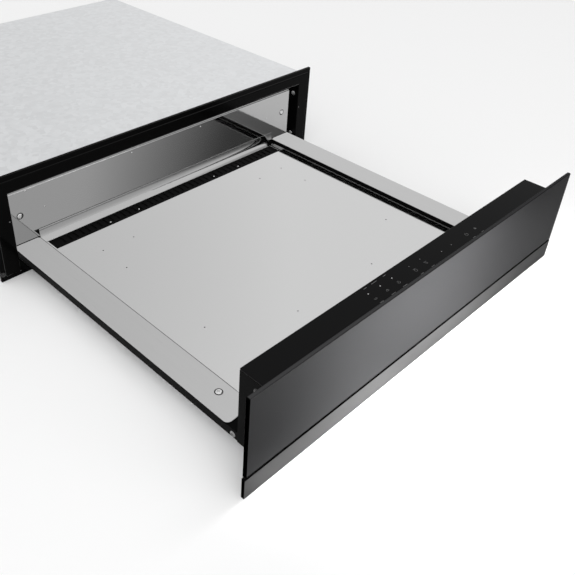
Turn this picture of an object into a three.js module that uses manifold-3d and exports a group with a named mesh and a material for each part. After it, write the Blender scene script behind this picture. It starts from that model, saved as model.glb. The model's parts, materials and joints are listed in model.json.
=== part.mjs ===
// Built-in warming drawer, drawn out to the end of its travel. Millimetres.
// +X is to the right when facing the appliance, +Y runs back into the furniture, +Z is up.
// The origin is the centre of the underside of the case.
// The drawer has a frame of its own: y = 0 is the outer face of its glass and z = 0 its lower edge.

import * as THREE from "three";
import { mergeVertices } from "three/addons/utils/BufferGeometryUtils.js";
import Module from "manifold-3d";

const wasm = await Module();
wasm.setup();

// ---- Driving dimensions ----

// Clearances
const seat = 0.3; // between two pieces that rest on each other
const glide = 0.5; // between sliding rails
const mouthClearance = 2.5; // control box to the side of the case mouth
const closedGap = 2.7; // front carrier to the frame, with the drawer shut

// Front panel
const frontLap = 2; // past the case's frame, each side
const frontDrop = 9.4; // front's upper edge below the frame's
const frontLift = 5; // case underside up to the front's lower edge
const glassThickness = 4.5;
const trimHeight = 27.7;
const trimGroove = 1.6;
const trimProud = 1;
const carrierThickness = 1.5;
const carrierInset = 5;
const carrierBottom = 2; // above the front's lower edge
const carrierDrop = 4; // below the front's upper edge
const bumperRadius = 5;
const bumperDrop = 34; // below the front's upper edge

// Drawer body
const interiorWidth = 450.8;
const stripWidth = 38.7;
const stripGap = 1; // between a side strip and the rear wall
const stripThickness = 1;
const stripTop = 29.3;
const stripFront = 60; // from the front glass back to the rounded end of the strips
const stripEndRadius = 29;
const stripCornerRadius = 6;
const memberBottom = 16.7;
const memberSheet = 1.5;
const ledgeWidth = 9.4;
const memberLip = 4; // lower flange of a side member, inward of the runner's inner side
const floorTop = 20.3;
const floorThickness = 1.2;
const heaterThickness = 1;
const padThickness = 8;
const trayFlange = 8;
const slotPlateDepth = 22.8;
const slotPlateGap = 6.3; // between the slot plate and the rear wall
const slotPlateInset = 8.4; // slot plate to the side members
const airSlotWidth = 3;
const airSlotPitch = 10;
const airSlotEnd = 5; // from the ends of a slot to the plate's edges
const airSlotMargin = 15; // from the outer slots to the plate's ends
const floorGroove = 4.6; // floor plate to the side members
const wallFit = 0.4; // rear wall's lower part to the side members
const heaterEndGap = 6; // floor heater to the control box
const heaterSideGap = 2; // floor heater to the ledges
const heaterBackGap = 8; // floor heater to the slot plate
const wallFace = 473.5;
const wallThickness = 1.2;
const wallHeadroom = 14; // rear wall to the top of the case mouth
const wallLip = 3.2;
const wallBend = 1.6; // outer radius of the bend into the lip
const footHeight = 20; // coved foot of the rear wall
const footCurl = 2.5; // power of its curve, which grows towards the floor
const footEdge = 0.5; // thickness left at its upper edge
const footInset = 0.6; // from the side members
const footSteps = 10;
const wallInset = 0.2; // from the drawer's sides
const coverDepth = 47;
const coverSheet = 1.2;
const coverInset = 1; // from the drawer's sides
const coverRim = 6; // left around the cover's open front, above and below
const coverTab = 12; // solid sheet from the wall screws inward
const louvreCount = 8;
const louvrePitch = 18;
const louvreLength = 12;
const louvreWidth = 3;
const louvreSetback = 14;
const ductDepth = 12.5;

// Control box
const boxDepth = 38.2;
const boxHeadroom = 3; // control box to the top of the case mouth
const boxOverhang = 0.9; // past the side members, each side
const boxWall = 2.5;
const lidThickness = 2.5;
const boardDrop = 11; // lid underside down to the control board
const boardShelf = 12; // width of the shelves that carry the control board
const boardEndGap = 7; // control board to the box wall, at each end
const boardSideGap = 1; // and along it
const chipAcross = 150;
const chipWidth = 22;
const chipDepth = 16;
const chipHeight = 3;
const keyPadRadius = 5;
const keyPitch = 20.5;
const firstKeys = -91;
const secondKeys = -18;
const lights = 33;
const lastKeys = 85;

// Case
const rearSpace = 17; // behind the drawer when it is shut
const caseHeight = 144;
const caseJamb = 9.5; // from the mouth out to the case side, each side
const caseSheet = 1.2;
const caseFlange = 12;
const ventWidth = 5;
const intakeLength = 70;
const intakePitch = 14;
const intakeCount = 8; // slots in each group
const intakeAcross = 150; // groups either side of the middle of the base
const intakeBack = 90; // behind the middle of the case
const outletLength = 50;
const outletPitch = 12;
const outletCount = 10;
const outletPlaces = [-120, 60];
const outletDrop = 42; // below the case top

// Front frame of the case
const frameRise = 4.4; // frame above the case top
const frameCorner = 0.5;
const frameSide = 28; // width of each jamb
const frameHead = 22.4; // height of the bar above the mouth
const frameSill = 2.8;
const frameRim = 7;
const rimThickness = 4;
const bandProud = 2;
const landStep = 0.8; // the rim's outer land, which meets the furniture, behind its inner part
const collarWall = 3;
const collarDepth = 26;
const wallSetback = 17.5; // rear wall behind the frame's front, with the drawer out

// Runners
const railWidth = 24;
const railSetback = 2.6; // from the drawer interior out to the runner
const railHeight = 15.5;
const railSheet = 1.5;
const railLength = 480;
const railFrontGap = 1; // case flange back to the runner
const middleRailLength = 465;
const middleRailLag = 5; // middle rail's front end behind half the travel
const drawerRailLength = 450;
const drawerRailSetback = 15; // from the control box's front
const drawerRailShoulder = 2; // flange of the drawer rail short of the runner, each side
const drawerRailWeb = 8;
const drawerRailTop = 1.6;

// Fan, on an axis along Y
const fanBottomGap = 0.5; // fan housing to the cover's floor
const fanTopGap = 2.3; // fan housing to the cover's top
const fanHousingDepth = 22;
const fanHousingWall = 1.5;
const fanInletLip = 7; // impeller's edge in to the housing's inlet
const fanDuctWidth = 28;
const impellerGap = 7; // impeller to the housing's outside
const impellerDepth = 15.5;
const bladeCount = 20;
const bladeLength = 5;
const shaftRadius = 2.1;
const motorRadius = 19;
const motorLength = 15.5;

// Push latch
const latchWidth = 28;
const latchLength = 40;
const latchClearance = 0.6; // latch body to the air duct that passes over it
const plungerRadius = 2.6;
const plungerReach = 8; // out of the latch body
const plungerLength = 33;
const latchStroke = 4.5;
const strikerWidth = 16;
const strikerThickness = 6;

// Mains inlet and terminals at the case rear
const inletAcross = 215;
const inletHeight = 36;
const inletRadius = 9;
const inletProud = 9;
const inletBore = 4;
const terminalWidth = 52;
const terminalHeight = 30;
const terminalDepth = 10;
const terminalPitch = 15;
const terminalBore = 3.2;

// Electrics behind the rear wall
const boardThickness = 1.6;
const powerBoardWidth = 120;
const powerBoardDrop = 8.3; // power board to the cover's top
const powerBoardAcross = 110;
const powerBoardUp = 36;
const standoff = 6;
const partMargin = 9; // from the edge of the power board to the parts on it
const transformerWidth = 32;
const transformerHeight = 26;
const transformerDepth = 20;
const relaySize = 17;
const capacitorRadius = 5.5;
const cutoutAcross = 90;
const cutoutUp = 62;
const cutoutRadius = 8;
const probeAcross = 84;
const probeUp = 52;
const probeRadius = 3;
const probeLength = 14;
const airHeaterLeft = 64;
const airHeaterLength = 98;
const airHeaterDepth = 24;
const finPitch = 6;
const finHeight = 9;
const finThickness = 1.2;

// Screws
const screwHead = 3.6;
const screwHeadHeight = 1.1;
const screwShank = 1.6;
const screwLength = 4;
const screwGap = 0.3; // around a shank in its hole

// ---- Derived places ----

const interiorHalf = interiorWidth / 2;
const drawerHalf = interiorHalf + stripWidth;
const boxHalf = drawerHalf + boxOverhang;
const mouthHalf = boxHalf + mouthClearance;
const caseHalf = mouthHalf + caseJamb;
const frameHalf = mouthHalf + frameSide;
const frontHalf = frameHalf + frontLap;
const frameHeight = caseHeight + frameRise;
const mouthTop = frameHeight - frameHead;
const frontHeight = frameHeight - frontLift - frontDrop;
const boxTop = mouthTop - frontLift - boxHeadroom;
const wallTop = mouthTop - frontLift - wallHeadroom;

const doorBack = glassThickness + seat + carrierThickness;
const boxFront = doorBack + seat;
const boxBack = boxFront + boxDepth;
const boxBottom = memberBottom;
const lidBottom = boxTop - lidThickness;
const wallBack = wallFace + wallThickness;
const coverFront = wallBack + seat;
const coverBack = coverFront + coverDepth;
const memberTop = stripTop - stripThickness - seat;
const floorBottom = floorTop - floorThickness;
const ledgeTop = floorBottom - seat;
const ledgeBottom = ledgeTop - memberSheet;
const ledgeHalf = interiorHalf - ledgeWidth;
const slotPlateBack = wallFace - slotPlateGap;
const slotPlateFront = slotPlateBack - slotPlateDepth;
const slotPlateHalf = interiorHalf - slotPlateInset;
const coverBottom = memberTop + seat;
const coverTop = wallTop - wallThickness - seat;
const coverFloor = coverBottom + coverSheet;
const coverCeiling = coverTop - coverSheet;
const fanHousingRadius = (coverCeiling - fanTopGap - coverFloor - fanBottomGap) / 2;
const fanHeight = coverFloor + fanBottomGap + fanHousingRadius;
const impellerRadius = fanHousingRadius - impellerGap;
const fanInletRadius = impellerRadius - fanInletLip;

// How far the drawer travels to shut, and the depth of the case that then holds it.
const frameFromFront = wallFace - wallSetback;
const travel = frameFromFront - doorBack - closedGap;
const frameThickness = rimThickness + bandProud;
const caseDepth = coverBack + travel - frameFromFront - frameThickness + rearSpace;

const flangeBack = -caseDepth / 2;
const rimFront = flangeBack - rimThickness;
const caseFront = flangeBack - landStep + seat;
const frameFront = rimFront - bandProud;
const drawerY = frameFront - frameFromFront; // the drawer's own frame in the part's frame

const railInner = interiorHalf + railSetback;
const railOuter = railInner + railWidth;
const railBottom = caseSheet + seat;
const railFront = flangeBack + railFrontGap;
const railMiddle = (railInner + railOuter) / 2;

// ---- Materials ----

const finish = (color, roughness, metalness) =>
  new THREE.MeshStandardMaterial({ color, roughness, metalness });

const zincSteel = finish(0xc4c7c8, 0.45, 0.9);
const stainless = finish(0xbdbdbb, 0.3, 1);
const mirrorSteel = finish(0xc8c8c8, 0.08, 1);
const frontGlass = finish(0x55565a, 0.15, 0);
const trimMetal = finish(0x8b8b8b, 0.35, 0.9);
const blackGloss = finish(0x101012, 0.2, 0);
const blackSatin = finish(0x17171a, 0.45, 0);
const blackSteel = finish(0x151517, 0.4, 0.4);
const screwSteel = finish(0xd0d0d0, 0.2, 1);
const greyPlastic = finish(0x85878a, 0.6, 0);
const whitePlastic = finish(0xe4e4e0, 0.5, 0);
const circuitGreen = finish(0x1f5a3a, 0.6, 0);
const wool = finish(0xcfc8b4, 0.95, 0);
const heaterFoil = finish(0xb5672e, 0.5, 0.2);
const rubber = finish(0x202020, 0.8, 0);

// ---- Geometry helpers ----

// Points of an arc about (u, v), from one angle to another.
function arc(u, v, radius, from, to, steps = 6) {
  return Array.from({ length: steps + 1 }, (_, i) => {
    const turn = from + ((to - from) * i) / steps;
    return [u + radius * Math.cos(turn), v + radius * Math.sin(turn)];
  });
}

// A closed outline, without any point that repeats the one before it.
function polygon(points) {
  const apart = ([a, b], [c, d]) => Math.hypot(a - c, b - d) > 1e-3;
  const kept = points.filter((point, i) => apart(point, points.at(i - 1)));
  return new THREE.Shape(kept.map(([u, v]) => new THREE.Vector2(u, v)));
}

function rectangle(u0, v0, u1, v1, radius = 0) {
  const right = Math.PI / 2;
  const corners = [
    [u1 - radius, v0 + radius, -1],
    [u1 - radius, v1 - radius, 0],
    [u0 + radius, v1 - radius, 1],
    [u0 + radius, v0 + radius, 2],
  ];
  const round = corners.flatMap(([u, v, turn]) =>
    arc(u, v, radius, turn * right, (turn + 1) * right, radius ? 4 : 1),
  );
  return polygon(round);
}

function circle(u, v, radius, sides = 16) {
  return polygon(arc(u, v, radius, 0, 2 * Math.PI, sides));
}

// Extrudes an outline along an axis. The outline is in (x, y), (x, z) or (y, z).
function prism(axis, shape, from, to, edge = 0) {
  const geometry = new THREE.ExtrudeGeometry(shape, {
    depth: to - from - 2 * edge,
    bevelEnabled: edge > 0,
    bevelThickness: edge,
    bevelSize: edge,
    bevelOffset: -edge,
    bevelSegments: 1,
  });
  geometry.translate(0, 0, edge);
  const [X, Y, Z] = [
    new THREE.Vector3(1, 0, 0),
    new THREE.Vector3(0, 1, 0),
    new THREE.Vector3(0, 0, 1),
  ];
  const basis = new THREE.Matrix4();
  if (axis === "x") geometry.applyMatrix4(basis.makeBasis(Y, Z, X)).translate(from, 0, 0);
  if (axis === "y") {
    geometry.applyMatrix4(basis.makeBasis(X, Z, Y.negate())).translate(0, to, 0);
  }
  if (axis === "z") geometry.translate(0, 0, from);
  return geometry;
}

function block(x0, x1, y0, y1, z0, z1) {
  const geometry = new THREE.BoxGeometry(x1 - x0, y1 - y0, z1 - z0);
  return geometry.translate((x0 + x1) / 2, (y0 + y1) / 2, (z0 + z1) / 2);
}

// A round bar along an axis, its centre at (u, v) across that axis.
function bar(axis, u, v, radius, from, to, sides = 24) {
  return prism(axis, circle(u, v, radius, sides), from, to);
}

function toSolid(geometry) {
  const bare = new THREE.BufferGeometry();
  bare.setAttribute("position", geometry.getAttribute("position").clone());
  if (geometry.index) bare.setIndex(geometry.index.clone());
  const merged = mergeVertices(bare, 1e-4);
  return new wasm.Manifold(
    new wasm.Mesh({
      numProp: 3,
      vertProperties: new Float32Array(merged.getAttribute("position").array),
      triVerts: new Uint32Array(merged.index.array),
    }),
  );
}

function toGeometry(solid) {
  const mesh = solid.getMesh();
  const positions = new Float32Array(mesh.numVert * 3);
  for (let i = 0; i < mesh.numVert; i++) {
    positions.set(mesh.vertProperties.subarray(i * mesh.numProp, i * mesh.numProp + 3), i * 3);
  }
  const indexed = new THREE.BufferGeometry();
  indexed.setAttribute("position", new THREE.BufferAttribute(positions, 3));
  indexed.setIndex(new THREE.BufferAttribute(mesh.triVerts, 1));
  const flat = indexed.toNonIndexed();
  flat.computeVertexNormals();
  return flat;
}

const join = (...parts) => toGeometry(parts.map(toSolid).reduce((a, b) => a.add(b)));

const cut = (body, ...tools) =>
  toGeometry(tools.map(toSolid).reduce((a, b) => a.subtract(b), toSolid(body)));

function piece(group, name, geometry, material) {
  const mesh = new THREE.Mesh(geometry, material);
  mesh.name = name;
  group.add(mesh);
  return mesh;
}

// A right-hand piece and its mirror image on the left.
function pair(group, name, geometry, material) {
  piece(group, "right_" + name, geometry, material);
  piece(group, "left_" + name, geometry, material).scale.x = -1;
}

// Sheet cross-section to the right of the middle plane, extruded along Y.
const profile = (points, from, to) => prism("y", polygon(points), from, to);

// ---- Screws ----

// A domed screw whose head sits on a face. Its shank points along -Y before it is turned.
function screwGeometry() {
  const dome = [1, 0.86, 0.5, 0].map(
    (share, i) =>
      new THREE.Vector2(screwHead * share, screwHeadHeight * [0.35, 0.75, 0.96, 1][i]),
  );
  const points = [
    new THREE.Vector2(0, -screwLength),
    new THREE.Vector2(screwShank, -screwLength),
    new THREE.Vector2(screwShank, 0),
    new THREE.Vector2(screwHead, 0),
    ...dome,
  ];
  return new THREE.LatheGeometry(points, 14);
}

// Which way each kind of screw's head faces, as seen on the right-hand side.
const screwFaces = { front: [0, -1, 0], up: [0, 0, 1], right: [1, 0, 0], left: [-1, 0, 0] };

function screw(group, name, place, facing, material) {
  const mesh = piece(group, name, screwGeometry(), material);
  const direction = new THREE.Vector3(...screwFaces[facing]);
  mesh.position.set(...place).addScaledVector(direction, 0.05);
  mesh.quaternion.setFromUnitVectors(new THREE.Vector3(0, 1, 0), direction);
}

function screwPair(group, name, [x, y, z], facing, material = screwSteel) {
  const opposite = { right: "left", left: "right" };
  screw(group, "right_" + name, [x, y, z], facing, material);
  screw(group, "left_" + name, [-x, y, z], opposite[facing] ?? facing, material);
}

// The hole of a screw, through the face that it sits on.
function screwHole(axis, [x, y, z], reach) {
  const radius = screwShank + screwGap;
  const depth = screwLength + 1;
  const [u, v, w] = { x: [y, z, x], y: [x, z, y], z: [x, y, z] }[axis];
  const ends = reach > 0 ? [w - depth, w + 1] : [w - 1, w + depth];
  return bar(axis, u, v, radius, ...ends, 12);
}

// ---- Screw places ----

const stripScrew = [drawerHalf - 23.1, 98, stripTop];
const wallScrew = [drawerHalf - 16.1, wallFace, wallTop - 36];
const boxScrew = [boxHalf, boxFront + 15.4, boxTop - 14];
const sideScrew = [drawerHalf, boxBack + 7.2, memberBottom + 4.8];
const frameScrew = [frameHalf - frameRim / 2, rimFront, 11];
const jambUpper = [mouthHalf, frameFront + 11, mouthTop - 18.4];
const jambLower = [mouthHalf, frameFront + 11, 34.5];

// ---- Case ----

// Rows of slots for cutting a sheet. The outline plane is the one that prism uses for the axis.
function ventSlots(axis, centres, length, pitch, count, spot, [from, to]) {
  const slots = [];
  for (const centre of centres) {
    for (let i = 0; i < count; i++) {
      const u = centre + (i - (count - 1) / 2) * pitch;
      const [low, high] = [spot - length / 2, spot + length / 2];
      const outline = rectangle(u - ventWidth / 2, low, u + ventWidth / 2, high);
      slots.push(prism(axis, outline, from, to));
    }
  }
  return slots;
}

function addCase(group) {
  const front = caseFront;
  const back = caseDepth / 2;
  const low = caseSheet + seat;
  const high = caseHeight - caseSheet - seat;
  const inside = caseHalf - caseSheet;
  const sheet = (z, from) => block(-caseHalf, caseHalf, from, back, z, z + caseSheet);

  const intake = ventSlots(
    "z",
    [-intakeAcross, intakeAcross],
    intakeLength,
    intakePitch,
    intakeCount,
    intakeBack,
    [-1, caseSheet + 1],
  );
  piece(group, "case_base", cut(sheet(0, front), ...intake), zincSteel);
  const top = sheet(caseHeight - caseSheet, flangeBack + seat); // behind the frame's land
  piece(group, "case_top", top, zincSteel);

  const side = [
    [caseHalf, low],
    [caseHalf, high],
    [caseHalf - caseFlange, high],
    [caseHalf - caseFlange, high - caseSheet],
    [inside, high - caseSheet],
    [inside, low + caseSheet],
    [caseHalf - caseFlange, low + caseSheet],
    [caseHalf - caseFlange, low],
  ];
  pair(group, "case_side", profile(side, front, back - caseSheet - seat), zincSteel);

  const rear = block(-caseHalf, caseHalf, back - caseSheet, back, low, high);
  const through = [back - caseSheet - 1, back + 1];
  const vents = ventSlots(
    "y",
    outletPlaces,
    outletLength,
    outletPitch,
    outletCount,
    caseHeight - outletDrop,
    through,
  );
  const inlet = bar("y", inletAcross, inletHeight, inletRadius + seat, ...through, 20);
  piece(group, "case_rear", cut(rear, ...vents, inlet), zincSteel);
}

function addInlet(group) {
  const [x, z] = [inletAcross, inletHeight];
  const back = caseDepth / 2;
  const inner = back - caseSheet;
  const gland = join(
    bar("y", x, z, inletRadius, inner - seat, back + seat, 20),
    bar("y", x, z, inletRadius * 1.3, back + seat, back + inletProud * 0.45, 20),
    bar("y", x, z, inletRadius, back + inletProud * 0.4, back + inletProud, 20),
  );
  const bored = cut(gland, bar("y", x, z, inletBore, inner, back + inletProud + 1, 12));
  piece(group, "mains_inlet", bored, blackSatin);

  const left = x - terminalWidth / 2;
  const low = z - terminalHeight / 2;
  const rear = inner - 2 * seat;
  const front = rear - terminalDepth;
  const body = block(left, left + terminalWidth, front, rear, low, low + terminalHeight);
  const wells = [-1, 0, 1].map((i) =>
    bar("y", x + terminalPitch * i, z, terminalBore, front - 1, front + terminalDepth / 2, 10),
  );
  piece(group, "terminal_block", cut(body, ...wells), whitePlastic);
}

// U-shaped outline around the case mouth: both jambs and the head.
function aroundMouth(outerHalf, outerTop, low) {
  return polygon([
    [-outerHalf, low],
    [-mouthHalf, low],
    [-mouthHalf, mouthTop],
    [mouthHalf, mouthTop],
    [mouthHalf, low],
    [outerHalf, low],
    [outerHalf, outerTop],
    [-outerHalf, outerTop],
  ]);
}

function addFrame(group) {
  const half = frameHalf;
  const rim = rectangle(-half, 0, half, frameHeight, frameCorner);
  rim.holes = [rectangle(-mouthHalf, frameSill, mouthHalf, mouthTop)];
  const band = aroundMouth(half - frameRim, frameHeight - frameRim, frameRim);
  const collar = aroundMouth(
    mouthHalf + collarWall,
    mouthTop + collarWall,
    caseSheet * 2 + seat * 2,
  );
  const mirrored = ([x, y, z]) => [-x, y, z];
  const reach = caseHalf + seat;
  const step = block(
    -reach,
    reach,
    flangeBack - landStep,
    flangeBack + 1,
    -1,
    caseHeight + seat,
  );
  const stepped = join(
    cut(prism("y", rim, rimFront, flangeBack), step),
    prism("y", band, frameFront, rimFront + 1, 0.8),
    prism("y", collar, flangeBack - landStep - 1, frameFront + collarDepth),
  );
  const holes = [jambUpper, jambLower].flatMap((place) => [
    screwHole("x", place, -1),
    screwHole("x", mirrored(place), 1),
  ]);
  holes.push(screwHole("y", frameScrew, -1), screwHole("y", mirrored(frameScrew), -1));
  piece(group, "front_frame", cut(stepped, ...holes), blackGloss);
  screwPair(group, "jamb_upper_screw", jambUpper, "left");
  screwPair(group, "jamb_lower_screw", jambLower, "left");
  screwPair(group, "frame_screw", frameScrew, "front", blackGloss);
}

// ---- Runners ----

// Open-topped channel between two heights.
function channel(inner, outer, low, high, from, to) {
  const points = [
    [inner, high],
    [inner, low],
    [outer, low],
    [outer, high],
    [outer - railSheet, high],
    [outer - railSheet, low + railSheet],
    [inner + railSheet, low + railSheet],
    [inner + railSheet, high],
  ];
  return profile(points, from, to);
}

const middleRailGap = railSheet + 2 * glide;
const middleRailLow = railBottom + railSheet + glide;

function addCaseRails(group) {
  const rail = channel(
    railInner,
    railOuter,
    railBottom,
    railBottom + railHeight,
    railFront,
    railFront + railLength,
  );
  pair(group, "case_rail", rail, zincSteel);
}

function addMiddleRails(group) {
  const from = railFront + middleRailLag - travel / 2;
  const rail = channel(
    railInner + middleRailGap,
    railOuter - middleRailGap,
    middleRailLow,
    railBottom + railHeight + glide,
    from,
    from + middleRailLength,
  );
  pair(group, "middle_rail", rail, stainless);
}

function addDrawerRails(group) {
  const top = memberBottom - seat;
  const under = top - drawerRailTop;
  const low = middleRailLow + railSheet + glide - frontLift;
  const [w0, w1] = [railMiddle - drawerRailWeb / 2, railMiddle + drawerRailWeb / 2];
  const [f0, f1] = [railInner + drawerRailShoulder, railOuter - drawerRailShoulder];
  const points = [
    [w0, low],
    [w1, low],
    [w1, under],
    [f1, under],
    [f1, top],
    [f0, top],
    [f0, under],
    [w0, under],
  ];
  const from = boxFront + drawerRailSetback;
  pair(group, "drawer_rail", profile(points, from, from + drawerRailLength), zincSteel);
}

// ---- Front ----

function addFront(group) {
  const half = frontHalf;
  const glass = rectangle(-half, trimHeight + trimGroove, half, frontHeight, 1.2);
  piece(group, "front_glass", prism("y", glass, 0, glassThickness, 0.5), frontGlass);

  const trim = rectangle(-half - trimProud, 0, half + trimProud, trimHeight, 0.8);
  piece(group, "lower_trim", prism("y", trim, 0, glassThickness, 0.5), trimMetal);

  const reach = half - carrierInset;
  const back = glassThickness + seat;
  const top = frontHeight - carrierDrop;
  const carrier = block(-reach, reach, back, back + carrierThickness, carrierBottom, top);
  piece(group, "front_carrier", carrier, blackSteel);

  const across = (boxHalf + reach) / 2;
  const up = frontHeight - bumperDrop;
  const padBack = doorBack + closedGap - glide;
  const pad = bar("y", across, up, bumperRadius, boxFront, padBack, 14);
  pair(group, "bumper", pad, rubber);
}

// Across the control box: three keys, two keys, two lights and two keys.
const keyPlaces = [
  firstKeys,
  firstKeys + keyPitch,
  firstKeys + 2 * keyPitch,
  secondKeys,
  secondKeys + keyPitch,
  lights,
  lights + keyPitch,
  lastKeys,
  lastKeys + keyPitch,
];

function addControlBox(group) {
  const shellTop = lidBottom - seat;
  const boardLow = lidBottom - boardDrop;
  const inner = boxHalf - boxWall;
  const ledge = (x0, x1) =>
    block(x0, x1, boxFront + 1, boxBack - 1, boxBottom + 1, boardLow - seat);
  const shell = cut(
    block(-boxHalf, boxHalf, boxFront, boxBack, boxBottom, shellTop),
    block(-inner, inner, boxFront + boxWall, boxBack - boxWall, boxBottom + boxWall, shellTop + 1),
  );
  const shelves = [
    ledge(-inner - 1, -inner + boardShelf),
    ledge(inner - boardShelf, inner + 1),
  ];
  const hollow = join(shell, ...shelves);
  const [x, y, z] = boxScrew;
  const box = cut(hollow, screwHole("x", boxScrew, 1), screwHole("x", [-x, y, z], -1));
  piece(group, "control_box", box, blackSatin);
  screwPair(group, "box_screw", boxScrew, "right");

  const lid = rectangle(-boxHalf, boxFront, boxHalf, boxBack, 0.8);
  piece(group, "touch_panel", prism("z", lid, lidBottom, boxTop, 0.4), blackGloss);

  const [y0, y1] = [boxFront + boxWall + boardSideGap, boxBack - boxWall - boardSideGap];
  const reach = inner - boardEndGap;
  const board = block(-reach, reach, y0, y1, boardLow, boardLow + boardThickness);
  const middle = (y0 + y1) / 2;
  const pads = keyPlaces.map((at) =>
    bar("z", at, middle, keyPadRadius, boardLow + 1, lidBottom - seat, 12),
  );
  const chip = block(
    chipAcross,
    chipAcross + chipWidth,
    middle - chipDepth / 2,
    middle + chipDepth / 2,
    boardLow + 1,
    boardLow + boardThickness + chipHeight,
  );
  piece(group, "control_board", join(board, chip, ...pads), circuitGreen);
}

// ---- Drawer body ----

function addSideMembers(group) {
  const s = memberSheet;
  const section = [
    [drawerHalf, memberBottom],
    [drawerHalf, memberTop],
    [interiorHalf, memberTop],
    [interiorHalf, ledgeTop],
    [ledgeHalf, ledgeTop],
    [ledgeHalf, ledgeBottom],
    [interiorHalf + s, ledgeBottom],
    [interiorHalf + s, memberTop - s],
    [drawerHalf - s, memberTop - s],
    [drawerHalf - s, memberBottom + s],
    [railInner + memberLip, memberBottom + s],
    [railInner + memberLip, memberBottom],
  ];
  const member = profile(section, boxBack + seat, coverBack);
  const drilled = cut(member, screwHole("x", sideScrew, 1), screwHole("z", stripScrew, 1));
  pair(group, "side_member", drilled, blackSteel);
  screwPair(group, "side_screw", sideScrew, "right");
}

// Stainless strip on a side member, its front end rounded on the inner side.
function addSideStrips(group) {
  const back = wallFace - stripGap;
  const [end, corner] = [stripEndRadius, stripCornerRadius];
  const outline = polygon([
    [drawerHalf, back],
    [interiorHalf, back],
    ...arc(interiorHalf + end, stripFront + end, end, Math.PI, 1.5 * Math.PI, 12),
    ...arc(drawerHalf - corner, stripFront + corner, corner, -Math.PI / 2, 0),
  ]);
  const strip = prism("z", outline, stripTop - stripThickness, stripTop, 0.25);
  pair(group, "side_strip", cut(strip, screwHole("z", stripScrew, 1)), stainless);
  screwPair(group, "strip_screw", stripScrew, "up");
}

function addFloor(group) {
  const edge = interiorHalf - floorGroove;
  const [front, back] = [boxBack + seat, wallFace - seat];
  const sheet = block(-edge, edge, front, back, floorBottom, floorTop);
  const window = block(
    -slotPlateHalf - seat,
    slotPlateHalf + seat,
    slotPlateFront - seat,
    slotPlateBack + seat,
    floorBottom - 1,
    floorTop + 1,
  );
  piece(group, "floor_plate", cut(sheet, window), stainless);

  const slots = [];
  const [slotFront, slotBack] = [slotPlateFront + airSlotEnd, slotPlateBack - airSlotEnd];
  const lastSlot = slotPlateHalf - airSlotMargin - airSlotWidth;
  for (let x = -slotPlateHalf + airSlotMargin; x < lastSlot; x += airSlotPitch) {
    const outline = rectangle(x, slotFront, x + airSlotWidth, slotBack);
    slots.push(prism("z", outline, floorBottom - 1, floorTop + 1));
  }
  const plate = block(-slotPlateHalf, slotPlateHalf, slotPlateFront, slotPlateBack, floorBottom, floorTop);
  const grid = cut(plate, ...slots);
  piece(group, "air_slot_plate", grid, blackSteel);

  const reach = ledgeHalf - heaterSideGap;
  const rear = slotPlateFront - heaterBackGap;
  const start = front + heaterEndGap;
  const heaterTop = floorBottom - seat;
  const heaterLow = heaterTop - heaterThickness;
  const heater = block(-reach, reach, start, rear, heaterLow, heaterTop);
  piece(group, "floor_heater", heater, heaterFoil);

  const padTop = heaterLow - seat;
  const padLow = padTop - padThickness;
  piece(group, "insulation_pad", block(-reach, reach, start, rear, padLow, padTop), wool);

  const s = caseSheet;
  const trayLow = padLow - seat - s;
  const wing = ledgeBottom - seat;
  const out = ledgeHalf - seat;
  const section = [
    [-out, trayLow],
    [out, trayLow],
    [out, wing - s],
    [out + trayFlange, wing - s],
    [out + trayFlange, wing],
    [out - s, wing],
    [out - s, trayLow + s],
    [-out + s, trayLow + s],
    [-out + s, wing],
    [-out - trayFlange, wing],
    [-out - trayFlange, wing - s],
    [-out, wing - s],
  ];
  piece(group, "bottom_tray", profile(section, front, rear + heaterBackGap / 2), zincSteel);
}

// ---- Rear of the drawer ----

function addRearWall(group) {
  const tongue = interiorHalf - wallFit;
  const half = drawerHalf - wallInset;
  const outline = polygon([
    [-tongue, floorTop + seat],
    [tongue, floorTop + seat],
    [tongue, stripTop + seat],
    [half, stripTop + seat],
    [half, wallTop - wallBend],
    [-half, wallTop - wallBend],
    [-half, stripTop + seat],
    [-tongue, stripTop + seat],
  ]);
  const [bendFrom, bendUp] = [wallFace + wallBend, wallTop - wallBend];
  const lip = polygon([
    [wallFace, bendUp - 1],
    [wallBack, bendUp - 1],
    ...arc(bendFrom, bendUp, wallBend - wallThickness, Math.PI, Math.PI / 2, 3),
    [wallFace + wallLip, wallTop - wallThickness],
    [wallFace + wallLip, wallTop],
    ...arc(bendFrom, bendUp, wallBend, Math.PI / 2, Math.PI, 5),
  ]);
  const wall = join(prism("y", outline, wallFace, wallBack), prism("x", lip, -half, half));
  const [x, y, z] = wallScrew;
  const drilled = cut(wall, screwHole("y", wallScrew, -1), screwHole("y", [-x, y, z], -1));
  piece(group, "rear_wall", drilled, mirrorSteel);
  screwPair(group, "wall_screw", wallScrew, "front");
}

// Coved foot from the wall to the slot plate, which keeps crumbs and air out of the corner.
function addWallFoot(group) {
  const half = interiorHalf - footInset;
  const [back, low] = [wallFace - seat, floorTop + seat];
  const top = low + footHeight;
  const depth = back - slotPlateBack - seat - footEdge;
  const cove = [];
  for (let i = 0; i <= footSteps; i++) {
    const down = i / footSteps;
    cove.push([back - footEdge - depth * down ** footCurl, top - footHeight * down]);
  }
  const section = polygon([[back, low], [back, top], ...cove]);
  piece(group, "wall_foot", prism("x", section, -half, half), mirrorSteel);
}

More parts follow.
